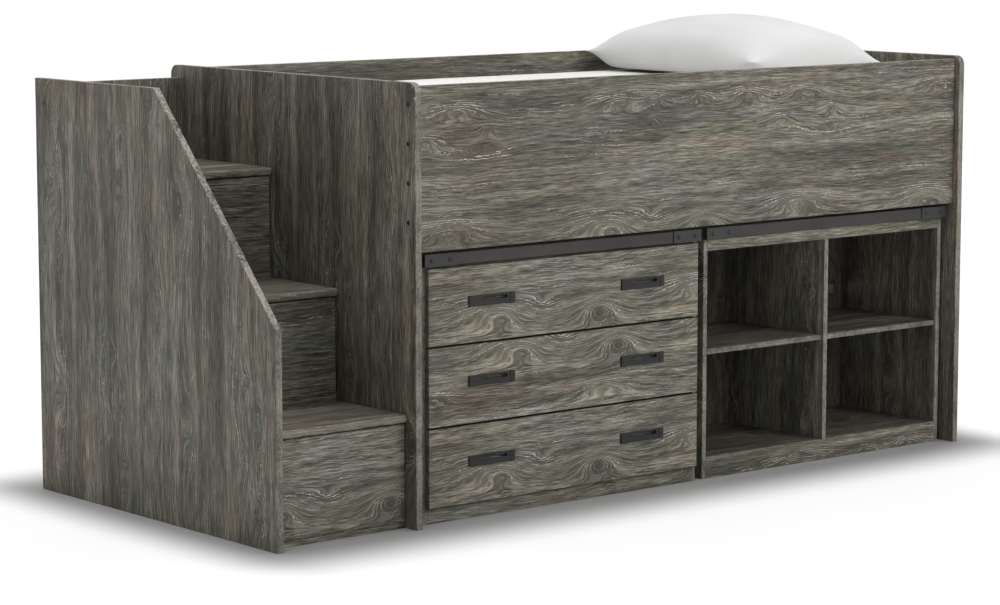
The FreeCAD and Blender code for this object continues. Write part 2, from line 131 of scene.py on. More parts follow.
def make_studio(floor):
    """A white room with a soft key at the front right and a top light; both leave the floor out."""
    world = bpy.data.worlds.new("studio")
    bpy.context.scene.world = world
    world.use_nodes = True
    tree = world.node_tree
    tree.nodes.clear()
    add = Nodes(tree)
    seen = add.node("ShaderNodeBackground", {"Color": (1, 1, 1, 1), "Strength": 1.0})
    lit = add.node("ShaderNodeBackground", {"Color": (1, 1, 1, 1), "Strength": STUDIO_FILL})
    path = add.node("ShaderNodeLightPath")
    sources = {0: path.outputs["Is Camera Ray"], 1: lit.outputs[0], 2: seen.outputs[0]}
    pick = add.node("ShaderNodeMixShader", sources)
    add.node("ShaderNodeOutputWorld", {0: pick.outputs[0]})
    beside = bpy.data.collections.new("not_lit_by_the_lamps")
    beside.objects.link(floor)
    beside.collection_objects[0].light_linking.link_state = "EXCLUDE"
    for lamp in LAMPS:
        make_area_light(*lamp).light_linking.receiver_collection = beside
    bpy.context.scene.view_settings.view_transform = "Standard"


# ---- small helpers ----


class Nodes:
    """Short calls that add nodes to one node tree."""

    def __init__(self, tree):
        self.tree = tree

    def link(self, output, socket):
        self.tree.links.new(output, socket)

    def feed(self, socket, value):
        if isinstance(value, bpy.types.NodeSocket):
            self.link(value, socket)
        else:
            socket.default_value = value

    def node(self, kind, inputs=None, **settings):
        made = self.tree.nodes.new(kind)
        for name, value in settings.items():
            setattr(made, name, value)
        for name, value in (inputs or {}).items():
            self.feed(made.inputs[name], value)
        return made

    def math(self, operation, *values, clamp=False):
        made = self.node("ShaderNodeMath", operation=operation, use_clamp=clamp)
        for socket, value in zip(made.inputs, values):
            self.feed(socket, value)
        return made.outputs[0]

    def product(self, a, b, clamp=False):
        return self.math("MULTIPLY", a, b, clamp=clamp)

    def times_plus(self, a, b, c):
        return self.math("MULTIPLY_ADD", a, b, c)

    def vector(self, operation, *values, output=0):
        made = self.node("ShaderNodeVectorMath", operation=operation)
        for socket, value in zip(made.inputs, values):
            self.feed(socket, value)
        return made.outputs[output]

    def scaled(self, place, *factors):
        return self.vector("MULTIPLY", place, tuple(factors) + (1.0,) * (3 - len(factors)))

    def scaled_by(self, vector, factor):
        made = self.node("ShaderNodeVectorMath", {0: vector, 3: factor}, operation="SCALE")
        return made.outputs[0]

    def spot(self):
        return self.node("ShaderNodeTexCoord").outputs["Object"]

    def split(self, vector):
        return self.node("ShaderNodeSeparateXYZ", {0: vector}).outputs

    def join(self, x=0.0, y=0.0, z=0.0):
        return self.node("ShaderNodeCombineXYZ", {0: x, 1: y, 2: z}).outputs[0]

    def noise(self, place, scale, detail=2.0, rough=0.55):
        """Noise on the sheet for two factors of scale or one, and in space for three."""
        place = self.scaled(place, *scale)
        made = self.node(
            "ShaderNodeTexNoise",
            {"Vector": place, "Scale": 1.0, "Detail": detail, "Roughness": rough},
            noise_dimensions="3D" if len(scale) == 3 else "2D",
        )
        return made.outputs[0]

    def remap(self, value, low, high, to_low=0.0, to_high=1.0, smooth=False):
        made = self.node(
            "ShaderNodeMapRange",
            {0: value, 1: low, 2: high, 3: to_low, 4: to_high},
            interpolation_type="SMOOTHSTEP" if smooth else "LINEAR",
        )
        return made.outputs[0]

    def ramp(self, factor, *stops):
        made = self.node("ShaderNodeValToRGB", {0: factor})
        elements = made.color_ramp.elements
        elements[0].position, elements[1].position = stops[0][0], stops[-1][0]
        elements[0].color, elements[1].color = (*stops[0][1], 1.0), (*stops[-1][1], 1.0)
        for position, colour in stops[1:-1]:
            elements.new(position).color = (*colour, 1.0)
        return made.outputs[0]

    def mix(self, factor, a, b, blend="MIX"):
        made = self.node("ShaderNodeMix", {0: factor}, data_type="RGBA", blend_type=blend)
        for number, value in ((6, a), (7, b)):
            colour = value if isinstance(value, bpy.types.NodeSocket) else (*value, 1.0)
            self.feed(made.inputs[number], colour)
        return made.outputs[2]

    def toned(self, colour, tone):
        return self.mix(1.0, colour, tone, "MULTIPLY")


def object_from(bm, name, material, smooth=False):
    """A new object with the mesh in bm, which is freed."""
    mesh = bpy.data.meshes.new(name)
    bm.normal_update()
    bm.to_mesh(mesh)
    bm.free()
    for polygon in mesh.polygons:
        polygon.use_smooth = smooth
    mesh.materials.append(material)
    return put_object(name, mesh)


def middle(low, high):
    return (low + high) / 2


def solids_of(node):
    """The lowest and highest corner of each separate solid in a CAD node, in order of place."""
    mesh = NODES[node].data
    key_of, parent = {}, []

    def root(k):
        while parent[k] != k:
            parent[k] = parent[parent[k]]
            k = parent[k]
        return k

    index = []
    for vertex in mesh.vertices:
        key = tuple(round(c, 5) for c in vertex.co)
        if key not in key_of:
            key_of[key] = len(parent)
            parent.append(len(parent))
        index.append(key_of[key])
    for polygon in mesh.polygons:
        corners = [root(index[v]) for v in polygon.vertices]
        for corner in corners[1:]:
            parent[root(corner)] = root(corners[0])
    groups = {}
    for key, k in key_of.items():
        groups.setdefault(root(k), []).append(key)
    boxes = [(Vector(np.min(g, axis=0)), Vector(np.max(g, axis=0))) for g in groups.values()]
    return sorted(boxes, key=lambda b: tuple(round(c, 4) for c in middle(*b)))


# ---- grey oak laminate ----

DECOR_LENGTH = 1.24  # the printed pattern repeats after this, in metres
DECOR_WIDTH = 0.60
RING_PITCH = 0.0105
GRAIN_SWAY = 0.022  # how far the grain wanders over a board
GRAIN_WAVER = 0.0052  # how far it wanders within a hand's width
OAK_DARK = (0.021, 0.018, 0.013)
OAK_MIDDLE = (0.088, 0.080, 0.064)
OAK_LIGHT = (0.205, 0.192, 0.166)
OAK_FILLER = (0.410, 0.390, 0.340)  # white filler left in the open grain

# place along and across the grain, half length and half height in metres, rings, dark heart
KNOTS = (
    (0.125, 0.067, 0.044, 0.0120, 3.4, 0.0),
    (0.227, 0.120, 0.014, 0.0080, 2.6, 0.9),
    (0.030, 0.140, 0.026, 0.0100, 2.3, 0.6),
    (0.205, 0.180, 0.058, 0.0090, -1.7, 0.0),
    (0.680, 0.066, 0.052, 0.0130, 3.8, 0.0),
    (0.787, 0.067, 0.024, 0.0095, 3.0, 0.0),
    (0.793, 0.123, 0.009, 0.0050, 1.8, 1.0),
    (0.970, 0.067, 0.021, 0.0090, 2.7, 0.0),
    (1.145, 0.067, 0.036, 0.0120, 3.4, 0.0),
    (0.985, 0.412, 0.034, 0.0175, 7.6, 0.4),
    (0.655, 0.405, 0.028, 0.0150, 3.2, 0.4),
    (0.600, 0.385, 0.046, 0.0170, 3.1, 0.0),
    (0.787, 0.370, 0.021, 0.0110, -2.1, 0.0),
    (0.105, 0.372, 0.062, 0.0170, 4.4, 0.0),
    (0.350, 0.500, 0.040, 0.0100, 2.6, 0.4),
    (0.930, 0.525, 0.058, 0.0110, 3.1, 0.0),
)
ARCH = KNOTS[9]  # the arched one, which each chest drawer front shows
KNOT_ROUND = 1.2  # how round the rings are over a knot's middle
KNOT_CALM = 0.50  # the streaks' strength over a knot
HEART_CORE = 7.0  # above 1 keeps a dark heart to the knot's middle
HEART_COVER = 0.7
RING_DRIFT = 0.55  # how unevenly the filled rings are spaced, in rings
RING_JAG = 0.8  # how jagged they are
FILLER_COVER = 0.88  # how much the white filler covers the print


def knot_bump(add, place, knot):
    """1 at the knot's middle, falling to 0 round it, once in each repeat; and its slope there."""
    x, y, half_length, half_height = knot[:4]
    away = add.vector("SUBTRACT", place, (x, y, 0.0))
    half = (DECOR_LENGTH / 2, DECOR_WIDTH / 2, 1.0)
    nearest = add.vector("WRAP", away, half, tuple(-h for h in half))
    steep = (-1 / half_length, -1 / half_height, 0.0)
    sized = add.scaled(nearest, *steep)
    length = add.vector("LENGTH", sized, output=1)
    rounded_length = add.math("SQRT", add.times_plus(length, length, KNOT_ROUND ** 2))
    bump = add.math("POWER", math.exp(-1), add.math("SUBTRACT", rounded_length, KNOT_ROUND))
    outward = add.scaled_by(sized, add.math("DIVIDE", 1.0, rounded_length))
    return bump, add.scaled(outward, *steep)


def line_near(add, phase, core, edge, stretch=1.0):
    """1 within core of the middle of a ring, falling to 0 at edge; stretch keeps its width even."""
    part = add.math("FRACT", phase)
    away = add.math("ABSOLUTE", add.math("SUBTRACT", part, 0.5))
    return add.remap(add.math("DIVIDE", away, stretch), core, edge, 1.0, 0.0, smooth=True)


def knotted_rings(add, place):
    """The rings as they flow round every knot: the place along and across their flow, their phase,
    how near a knot is, its dark heart, and how closely the rings are crowded."""
    along, across, _ = add.split(place)
    sway = add.math("SUBTRACT", add.noise(place, (2.2, 6.0), 1.0), 0.5)
    waver = add.math("SUBTRACT", add.noise(place, (20.0, 46.0), 3.0, 0.65), 0.5)
    across = add.times_plus(sway, GRAIN_SWAY, across)
    across = add.times_plus(waver, GRAIN_WAVER, across)
    phase = add.product(across, 1 / RING_PITCH)
    near, heart, slope = 0.0, 0.0, (0.0, 1 / RING_PITCH, 0.0)
    for knot in KNOTS:
        rings, dark = knot[4:]
        bump, inward = knot_bump(add, place, knot)
        phase = add.times_plus(bump, rings, phase)
        near = add.math("ADD", bump, near)
        slope = add.vector("ADD", slope, add.scaled_by(inward, add.product(bump, -rings)))
        if dark:
            heart = add.times_plus(add.math("POWER", bump, HEART_CORE), dark, heart)
    crowding = add.product(add.vector("LENGTH", slope, output=1), RING_PITCH)
    grain = add.join(along, add.product(phase, RING_PITCH))
    return grain, phase, near, heart, crowding


def streaked(add, grain, near, contrast):
    """Broad, narrow and fine streaks, calmer over a knot: their value and their colour."""
    broad = add.noise(grain, (2.2, 40.0))
    narrow = add.noise(grain, (7.0, 210.0), 2.0, 0.6)
    fine = add.noise(grain, (17.0, 400.0), 3.0, 0.72)
    value = add.product(broad, 0.20)
    value = add.times_plus(narrow, 0.24, value)
    value = add.times_plus(fine, 0.56, value)
    calm = add.product(contrast, add.remap(near, 0.2, 0.8, 1.0, KNOT_CALM, smooth=True))
    value = add.times_plus(add.math("SUBTRACT", value, 0.5), calm, 0.5)
    return value, add.ramp(value, (0.36, OAK_DARK), (0.49, OAK_MIDDLE), (0.62, OAK_LIGHT))


def clouded(add, colour, place, grain, near):
    """Lighter and darker areas, faint warm and cool tints, and a slightly darker print at knots."""
    cloud = add.noise(place, (1.6, 9.0))
    bands = add.noise(grain, (0.9, 26.0), 1.0)
    cloud = add.times_plus(bands, 0.5, add.product(cloud, 0.5))
    clouds = add.ramp(cloud, (0.36, (0.62, 0.62, 0.61)), (0.64, (1.38, 1.38, 1.39)))
    colour = add.toned(colour, clouds)
    tint = add.noise(place, (3.0, 13.0))
    tints = add.ramp(
        tint,
        (0.28, (1.13, 0.96, 0.87)),
        (0.37, (1.03, 1.00, 0.93)),
        (0.49, (0.98, 1.02, 0.89)),
        (0.58, (1.00, 1.00, 0.96)),
        (0.68, (0.93, 1.01, 1.01)),
    )
    colour = add.mix(0.9, colour, tints, "MULTIPLY")
    darker = add.remap(near, 0.15, 0.7, 1.0, 0.88, smooth=True)
    return add.toned(colour, add.join(darker, darker, darker))


def late_wood(add, colour, grain, phase, near, contrast):
    """Thin dark lines along the rings, worn off in places and fainter at knots."""
    line_noise = add.noise(grain, (12.0, 90.0), 1.0)
    lines = add.times_plus(line_noise, 2.0, add.product(phase, 1.9))
    worn = add.remap(add.noise(grain, (7.0, 70.0)), 0.42, 0.60)
    thin = add.product(line_near(add, lines, 0.05, 0.20), worn)
    away_from_knots = add.remap(near, 0.2, 0.6, 0.62, 0.18, smooth=True)
    thin = add.product(add.product(thin, away_from_knots), contrast)
    return add.mix(thin, colour, OAK_DARK)


def filled_rings(add, colour, place, phase, near, crowding, contrast):
    """White filler in rings at the knots and in a few stray ones, each with a dark line beside it, a
    painted shadow of its groove:
    how white a point is, and the colour."""
    knotty = add.remap(near, 0.16, 0.40, 0.0, 1.0, smooth=True)
    open_grain = add.remap(add.noise(place, (16.0, 80.0)), 0.42, 0.52)
    stray = add.remap(add.noise(place, (4.0, 22.0), 1.0), 0.57, 0.66, 0.0, 0.6)
    shown = add.product(add.math("MAXIMUM", knotty, stray), open_grain)
    shown = add.product(shown, contrast, clamp=True)
    shown = add.product(shown, add.remap(crowding, 2.2, 3.4, 1.0, 0.3))
    stretch = add.math("MINIMUM", add.math("MAXIMUM", crowding, 0.2), 1.7)
    drift = add.noise(add.join(phase), (0.8,), 1.0)
    jag = add.noise(place, (95.0, 130.0), 1.0)
    ring = add.times_plus(drift, RING_DRIFT, phase)
    ring = add.times_plus(jag, RING_JAG, ring)
    number = add.math("FLOOR", ring)
    chance = add.node("ShaderNodeTexWhiteNoise", {"W": number}, noise_dimensions="1D").outputs["Value"]
    shown = add.product(shown, add.remap(chance, 0.10, 0.35, 0.20, 1.0))
    white = add.product(line_near(add, ring, 0.03, 0.105, stretch), shown)
    # painted shadow: a dark line beside each filled ring
    shade = line_near(add, add.math("ADD", ring, 0.26), 0.05, 0.24, stretch)
    shade = add.product(add.product(shade, shown), 0.4)
    colour = add.mix(shade, colour, OAK_DARK)
    return white, add.mix(add.product(white, FILLER_COVER), colour, OAK_FILLER)


def oak_decor():
    """The printed oak: streaks that flow round knots, tinted clouds and white-filled ring lines."""
    tree = bpy.data.node_groups.new("grey_oak_decor", "ShaderNodeTree")
    for name, direction, kind in (("Place", "INPUT", "Vector"), ("Contrast", "INPUT", "Float"),
                                  ("Color", "OUTPUT", "Color"), ("Height", "OUTPUT", "Float")):
        tree.interface.new_socket(name, in_out=direction, socket_type="NodeSocket" + kind)
    add = Nodes(tree)
    given = add.node("NodeGroupInput")
    place, contrast = given.outputs["Place"], given.outputs["Contrast"]

    grain, phase, near, heart, crowding = knotted_rings(add, place)
    value, colour = streaked(add, grain, near, contrast)
    colour = clouded(add, colour, place, grain, near)
    colour = late_wood(add, colour, grain, phase, near, contrast)
    white, colour = filled_rings(add, colour, place, phase, near, crowding, contrast)
    colour = add.mix(add.product(heart, HEART_COVER, clamp=True), colour, OAK_DARK)

    height = add.times_plus(white, -0.25, value)
    add.node("NodeGroupOutput", {"Color": colour, "Height": height})
    return tree


def printed(add, decor, place, contrast):
    """The print's colour and height at a place on the sheet."""
    sheet = add.node("ShaderNodeGroup", {"Place": place, "Contrast": contrast}, node_tree=decor)
    return sheet.outputs["Color"], sheet.outputs["Height"]


def board_place(add, axes, origin, decor_place, crossed=False):
    """Where a point of a board lies on the printed sheet; edges are banded along their length.
    axes are the board's directions along the grain, across it and through its thickness.
    crossed is for a box, where boards that face along the grain have their own grain across it."""
    grain, across, depth = axes
    spot = add.vector("SUBTRACT", add.spot(), tuple(origin))
    parts = add.split(spot)
    normal = add.split(add.node("ShaderNodeNewGeometry").outputs["True Normal"])
    if across == Z:  # the print of a board on edge runs down from its top
        side = add.math("SUBTRACT", parts[depth], parts[across])
    else:
        side = add.math("ADD", parts[depth], parts[across])
    end_grain = add.math("GREATER_THAN", add.math("ABSOLUTE", normal[grain]), 0.8)
    faces = add.join(parts[grain], side)
    ends = add.join(*((parts[across], parts[depth]) if crossed else (side, parts[grain])))
    turned = add.node("ShaderNodeMix", {0: end_grain, 4: faces, 5: ends}, data_type="VECTOR")
    place = add.vector("ADD", turned.outputs[1], (*decor_place, 0.0))
    banded = add.math("SUBTRACT", 1.0, add.math("ABSOLUTE", normal[depth]), clamp=True)
    return place, banded, normal


def principled(add, colour, roughness, height=None, relief=0.0, specular=0.5, **sockets):
    inputs = {"Base Color": colour, "Roughness": roughness, "Specular IOR Level": specular}
    shader = add.node("ShaderNodeBsdfPrincipled", inputs)
    for name, value in sockets.items():
        shader.inputs[name.replace("_", " ")].default_value = value
    if height is not None:
        bump = add.node("ShaderNodeBump", {"Height": height, "Strength": 1.0, "Distance": relief})
        add.link(bump.outputs[0], shader.inputs["Normal"])
    add.node("ShaderNodeOutputMaterial", {0: shader.outputs[0]})
    return shader


def new_material(name):
    material = bpy.data.materials.new(name)
    material.use_nodes = True
    material.node_tree.nodes.clear()
    return material, Nodes(material.node_tree)


BAND_CONTRAST = 0.55  # the edge banding's print is fainter than the faces'
BAND_COVER = (0.30, 0.75)  # how much its speckle covers that print, upright and facing up
BAND_DARK = (0.040, 0.036, 0.028)
BAND_LIGHT = (0.320, 0.302, 0.262)


def speckle(add):
    """Edge banding: fine pale and dark flecks."""
    spot = add.spot()
    fleck = add.noise(spot, (150.0, 150.0, 110.0), 3.0, 0.75)
    patch = add.noise(spot, (14.0,) * 3)
    mixed = add.times_plus(patch, 0.35, add.product(fleck, 0.65))
    return add.ramp(mixed, (0.42, BAND_DARK), (0.58, BAND_LIGHT))


def oak_board(node, decor, axes, decor_place, contrast=1.0, tone=1.0,
              band=True, gap_painted_shade=1.0, crossed=False):
    """The laminate on one board: its own piece of the print, with paler banding on its edges.
    The gap factor darkens the edges that face up and down: painted shade, as in the gaps between fronts."""
    low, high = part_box(node)
    origin = Vector((low.x, low.y, high.z)) if axes[1] == Z else low
    material, add = new_material(node + "_oak")
    where, banded, normal = board_place(add, axes, origin, decor_place, crossed)
    strength = add.remap(banded, 0.2, 1.0, contrast, contrast * BAND_CONTRAST)
    colour, height = printed(add, decor, where, strength)
    # tone scales the print: painted shade on flats and side panels, painted light on treads and chest
    # fronts, a paler print on drawer boxes
    if tone != 1.0:
        colour = add.toned(colour, (tone,) * 3)
    if band:
        upward = add.remap(normal[Z], 0.0, 0.3, *BAND_COVER)
        colour = add.mix(add.product(banded, upward), colour, speckle(add))
    # painted shade: edges facing up and down are darkened like the shade in a gap
    if gap_painted_shade != 1.0:
        level = add.remap(add.math("ABSOLUTE", normal[Z]), 0.3, 0.9, 1.0, gap_painted_shade)
        colour = add.toned(colour, add.join(level, level, level))
    roughness = add.remap(height, 0.3, 0.7, 0.62, 0.48)
    principled(add, colour, roughness, height, 0.0007, specular=0.32)
    finish(node, material)


# ---- other materials ----

BAR_STEEL = (0.0205, 0.0192, 0.0180)
PLATE_STEEL = (0.019, 0.018, 0.018)
PULL_STEEL = (0.006, 0.006, 0.006)
BOLT_STEEL = (0.009, 0.009, 0.010)


def pewter(name, colour):
    """Dark powder-coated steel with faint cloudiness and a fine texture."""
    material, add = new_material(name)
    spot = add.spot()
    cloud = add.noise(spot, (9.0, 9.0, 30.0), 3.0)
    grit = add.noise(spot, (900.0,) * 3)
    pale = tuple(1.3 * c for c in colour)
    dark = tuple(0.75 * c for c in colour)
    shade = add.ramp(cloud, (0.35, dark), (0.65, pale))
    roughness = add.remap(cloud, 0.3, 0.7, 0.42, 0.56)
    principled(add, shade, roughness, grit, 0.00012, Metallic=0.35)
    return material


def zinc():
    """Zinc-plated steel with a faint spangle."""
    material, add = new_material("zinc_plate")
    spot = add.spot()
    cells = add.node("ShaderNodeTexVoronoi", {"Vector": spot, "Scale": 130.0}).outputs["Color"]
    value = add.split(cells)[0]
    shade = add.ramp(value, (0.0, (0.46, 0.47, 0.49)), (1.0, (0.62, 0.63, 0.65)))
    brushed = add.noise(spot, (700.0, 8.0, 700.0))
    roughness = add.remap(brushed, 0.3, 0.7, 0.28, 0.42)
    principled(add, shade, roughness, brushed, 0.00005, Metallic=1.0)
    return material


def softwood(node, axes):
    """Planed spruce: pale early wood, tan late-wood lines, a few small knots."""
    material, add = new_material(node + "_spruce")
    place, _, _ = board_place(add, axes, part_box(node)[0], (0.0, 0.0))
    bend = add.noise(place, (1.6, 9.0))
    along, side, _ = add.split(place)
    phase = add.times_plus(bend, 9.0, add.product(side, 190.0))
    late = line_near(add, phase, 0.0, 0.33)
    fibre = add.noise(place, (20.0, 900.0), 3.0)
    base = add.ramp(fibre, (0.3, (0.50, 0.36, 0.21)), (0.7, (0.66, 0.51, 0.33)))
    colour = add.mix(add.product(late, 0.55), base, (0.40, 0.25, 0.12))
    cell = add.node("ShaderNodeTexVoronoi", {"Vector": add.scaled(place, 3.4, 14.0), "Scale": 1.0})
    knot = add.remap(cell.outputs["Distance"], 0.07, 0.11, 1.0, 0.0, smooth=True)
    colour = add.mix(add.product(knot, 0.8), colour, (0.17, 0.09, 0.045))
    principled(add, colour, 0.62, fibre, 0.0002, specular=0.3)
    finish(node, material)


HARDBOARD_CONTRAST = 0.9
HARDBOARD_PAINTED_SHADE = 0.7  # the backs' print is darkened: painted shade, as they lie in the shade of their units


def hardboard(node, decor, decor_place):
    """Thin board, printed on the face that shows in front, that print darkened as painted shade, and raw
    brown fibre behind.
    """
    material, add = new_material(node + "_hardboard")
    where, _, normal = board_place(add, (Z, X, Y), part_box(node)[0], decor_place)
    print_colour, _ = printed(add, decor, where, HARDBOARD_CONTRAST)
    # painted shade: the printed face is darkened
    front = add.toned(print_colour, (HARDBOARD_PAINTED_SHADE,) * 3)
    spot = add.spot()
    fibre = add.noise(spot, (260.0,) * 3, 4.0, 0.7)
    mottle = add.noise(spot, (14.0,) * 3, 3.0)
    raw = add.ramp(fibre, (0.3, (0.17, 0.105, 0.060)), (0.7, (0.27, 0.18, 0.11)))
    raw = add.toned(raw, add.ramp(mottle, (0.3, (0.85,) * 3), (0.7, (1.12,) * 3)))
    rear_face = add.math("GREATER_THAN", normal[Y], 0.5)
    colour = add.mix(rear_face, front, raw)
    principled(add, colour, 0.66, fibre, 0.00015, specular=0.25)
    finish(node, material)


def weave(add, spot, pitch):
    """Crossing threads: a soft bump at every thread crossing."""
    x, y, z = add.split(spot)
    turn = 2 * math.pi / pitch
    warp = add.math("SINE", add.product(add.times_plus(z, 0.7, x), turn))
    weft = add.math("SINE", add.product(add.times_plus(z, 0.7, y), turn))
    return add.times_plus(add.product(warp, weft), 0.5, 0.5)


def cloth(name, colour, pitch, relief):
    """Pale cloth: a fine weave, slubs, and a soft sheen."""
    material, add = new_material(name)
    spot = add.spot()
    threads = weave(add, spot, pitch)
    slub = add.noise(spot, (60.0, 420.0, 60.0))
    soft = add.noise(spot, (5.0,) * 3, 3.0)
    height = add.times_plus(slub, 0.5, threads)
    dark = tuple(0.93 * c for c in colour)
    shade = add.ramp(soft, (0.35, dark), (0.65, colour))
    shade = add.mix(add.product(slub, 0.08), shade, tuple(0.8 * c for c in colour))
    roughness = add.remap(slub, 0.2, 0.8, 0.82, 0.95)
    principled(add, shade, roughness, height, relief, Sheen_Weight=0.15, specular=0.2)
    return material


def floor_paint():
    material, add = new_material("studio_floor")
    spot = add.spot()
    cloud = add.noise(spot, (0.8,) * 3)
    shade = add.ramp(cloud, (0.3, FLOOR_DARK), (0.7, FLOOR_PALE))
    half = (CAD_BOX[1] - CAD_BOX[0]) / 2
    beside = add.vector("SUBTRACT", add.vector("ABSOLUTE", spot), (half.x, half.y, 0.0))
    share = add.vector("DIVIDE", add.vector("MAXIMUM", beside, (0.0, 0.0, 0.0)), (*PAINTED_SHADOW_REACH, 1.0))
    # painted shadow: the floor's glow fades to nothing at the object's box
    glow = add.remap(add.vector("LENGTH", share, output=1), 0.0, 1.0, 0.0, FLOOR_GLOW, smooth=True)
    shader = principled(add, shade, 0.85, specular=0.1, Emission_Color=(1.0, 1.0, 1.0, 1.0))
    add.link(glow, shader.inputs["Emission Strength"])
    return material


# ---- finishes of the CAD nodes ----


def finish(node, material):
    for slot in NODES[node].material_slots:
        slot.material = material


def scattered(count):
    """A different but fixed place on the printed sheet for each board, evenly spread."""
    golden = 0.618034
    return ((count * golden) % 1.0 * DECOR_LENGTH, (count * golden * 2.7) % 1.0 * DECOR_WIDTH)


UPRIGHT_SIDES = (
    "bed_end_left", "bed_end_right", "stair_side_outer", "stair_string_inner",
    "chest_side_left", "chest_side_right",
    "bookcase_side_left", "bookcase_side_right", "bookcase_divider",
)
RAILS = (
    "guard_rear", "stair_kick_strips", "chest_plinth", "chest_top_rail",
    "bookcase_plinth", "bookcase_top_rail",
)
FLATS = ("chest_top", "chest_deck", "bookcase_top", "bookcase_deck", "bookcase_shelf_left",
         "bookcase_shelf_right")
TREADS = ("stair_tread_1", "stair_tread_2", "stair_tread_3")
STEP_FRONTS = ("step_drawer_front_1", "step_drawer_front_2", "step_drawer_front_3")
CHEST_DRAWERS = ("bottom", "middle", "top")
GUARD_CONTRAST = 1.1
FRONT_CONTRAST = 1.2  # the drawer fronts' print is stronger
# painted light: the chest fronts are made a little paler, to the brightness they show in the light
CHEST_FRONT_PAINTED_LIGHT = 1.04
TREAD_CONTRAST = 0.90  # the treads' print is a little fainter
# painted light: the treads are made paler, as their tops catch the light
TREAD_PAINTED_LIGHT = 1.25
FLAT_PAINTED_SHADE = 0.68  # painted shade: shelves, decks and tops are made a little darker, as they lie in the units' shade
# painted shade: these end and side panels are darkened to the shade they show
SIDE_PANEL_PAINTED_SHADES = {"stair_side_outer": 0.90, "bed_end_left": 0.93, "bed_end_right": 0.90}
GAP_PAINTED_SHADE = 0.25  # painted shade: the chest fronts' edges facing up and down are darkened nearly to black, as their gaps look
BOX_CONTRAST = 0.4  # the drawer boxes' print is faint and much paler
BOX_TONE = 2.4
GUARD_PRINT = (0.0, 0.0)  # places on the printed sheet
BOX_PRINT = (0.0, 0.2)
FIRST_BACK_PRINT = 40  # the backs' numbers for scattered()
ARCH_ON_FRONT = {"top": (0.573, 0.153), "middle": (0.640, 0.043), "bottom": (0.573, 0.153)}


def finish_boards(decor):
    boards = [(node, (Z, Y, X)) for node in UPRIGHT_SIDES] + [("stair_back", (Z, X, Y))]
    boards += [(node, (X, Z, Y)) for node in RAILS + STEP_FRONTS]
    boards += [(node, (X, Y, Z)) for node in FLATS]
    for number, (node, axes) in enumerate(boards, 1):
        contrast = FRONT_CONTRAST if node in STEP_FRONTS else 1.0
        tone = FLAT_PAINTED_SHADE if node in FLATS else SIDE_PANEL_PAINTED_SHADES.get(node, 1.0)
        oak_board(node, decor, axes, scattered(number), contrast, tone)
    oak_board("guard_front", decor, (X, Z, Y), GUARD_PRINT, GUARD_CONTRAST)
    for label, spot in ARCH_ON_FRONT.items():
        place = (ARCH[0] - spot[0], ARCH[1] - spot[1])
        oak_board("chest_drawer_front_" + label, decor, (X, Z, Y), place,
                  FRONT_CONTRAST, CHEST_FRONT_PAINTED_LIGHT, gap_painted_shade=GAP_PAINTED_SHADE)
    for number, node in enumerate(TREADS, len(boards) + 1):
        oak_board(node, decor, (X, Y, Z), scattered(number), TREAD_CONTRAST, TREAD_PAINTED_LIGHT, band=False)


def finish_the_rest(decor):
    for number, node in enumerate(("chest_back", "bookcase_back"), FIRST_BACK_PRINT):
        hardboard(node, decor, scattered(number))
    softwood("bed_slats", (Y, X, Z))
    softwood("slat_cleats", (X, Z, Y))
    plate = zinc()
    bars = {"metal_bars": pewter("pewter_steel", BAR_STEEL),
            "bar_end_plates": pewter("pewter_plate", PLATE_STEEL)}
    handle = pewter("pewter_pull", PULL_STEEL)
    for node in NODES:
        if "_box_" in node:
            oak_board(node, decor, (Y, X, Z), BOX_PRINT, BOX_CONTRAST, BOX_TONE,
                      band=False, crossed=True)
        elif "slides" in node or "runners" in node or node == "bookcase_shelf_pins":
            finish(node, plate)
        elif "pulls" in node:
            finish(node, handle)
        elif node in bars:
            finish(node, bars[node])


# ---- fasteners ----

HEAD_SEGMENTS = 36
SOCKET_ROWS = (7, 8, 9)  # the rows of socket_bolt that have six flats


def turned_head(bm, centre, outward, profile, hexagon=()):
    """A turned form: (radius, height) rows about the axis outward; hexagon names rows with six flats."""
    axis = Vector(outward).normalized()
    turn = Vector((0, 0, 1)).rotation_difference(axis).to_matrix()
    rows = []
    for number, (radius, height) in enumerate(profile):
        row = []
        for k in range(HEAD_SEGMENTS):
            angle = 2 * math.pi * k / HEAD_SEGMENTS
            reach = radius
            if number in hexagon:
                sixth = math.pi / 3
                reach = radius * math.cos(sixth / 2) / math.cos((angle % sixth) - sixth / 2)
            spot = Vector((reach * math.cos(angle), reach * math.sin(angle), height))
            row.append(bm.verts.new(Vector(centre) + turn @ spot))
        rows.append(row)
    for lower, upper in zip(rows, rows[1:]):
        for k in range(HEAD_SEGMENTS):
            after = (k + 1) % HEAD_SEGMENTS
            bm.faces.new((lower[k], lower[after], upper[after], upper[k]))
    bm.faces.new(list(reversed(rows[0])))
    bm.faces.new(rows[-1])


def socket_bolt(radius, head, shank, grip, socket):
    """Profile of a low cap bolt from its tip to the floor of its hexagon socket; 0 is the head's face."""
    soft = 0.12 * radius
    rows = [(shank * 0.8, -head - grip), (shank, -head - grip + shank * 0.3), (shank, -head)]
    rows += [(radius, -head), (radius, -soft), (radius - 0.3 * soft, -0.3 * soft), (radius - soft, 0.0)]
    rows += [(socket * 1.08, 0.0), (socket, -0.08 * radius), (socket * 0.98, -head * 0.75)]
    return rows


